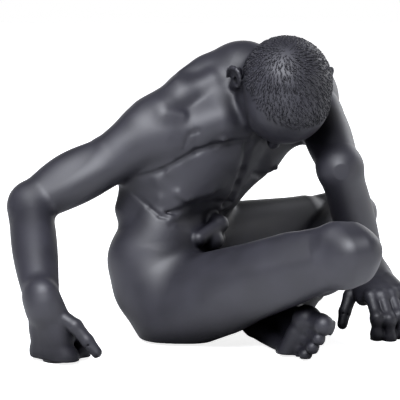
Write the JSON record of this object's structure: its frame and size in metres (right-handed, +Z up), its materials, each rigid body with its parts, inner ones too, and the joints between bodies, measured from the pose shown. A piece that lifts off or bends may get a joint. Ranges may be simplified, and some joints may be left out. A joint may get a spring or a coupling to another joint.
{
  "type": "seated male figurine",
  "caption": "Dark cast-resin figurine of a nude man sitting cross-legged, folded forward with his head down, one fist and one hand on the ground, standing on felt pads.",
  "frame": {"origin": "middle of the underside of the seat pad, on the surface that the figurine stands on", "axes": "+Z up; the man sits facing about +X with his head and chest turned down towards -Y, his right fist is on the -X side at -Y, his left hand on the +X side, and -Y is the side that is displayed"},
  "size_m": [0.1991, 0.1885, 0.1497],
  "materials": {
    "resin": "satin charcoal-black paint over cast resin",
    "steel": "plain ground dowel steel",
    "felt": "black wool felt"
  },
  "bodies": {
    "root": {"torso": "resin", "head": "resin", "right_arm": "resin", "left_arm": "resin", "right_fist": "resin", "left_hand": "resin", "right_leg": "resin", "left_leg": "resin", "neck_pin": "steel", "right_hip_pin": "steel", "right_shoulder_pin": "steel", "right_wrist_pin": "steel", "left_hip_pin": "steel", "left_shoulder_pin": "steel", "left_wrist_pin": "steel", "base_plug": "resin", "seat_pad": "felt", "fist_pad": "felt", "foot_pad": "felt"}
  },
  "joints": []
}
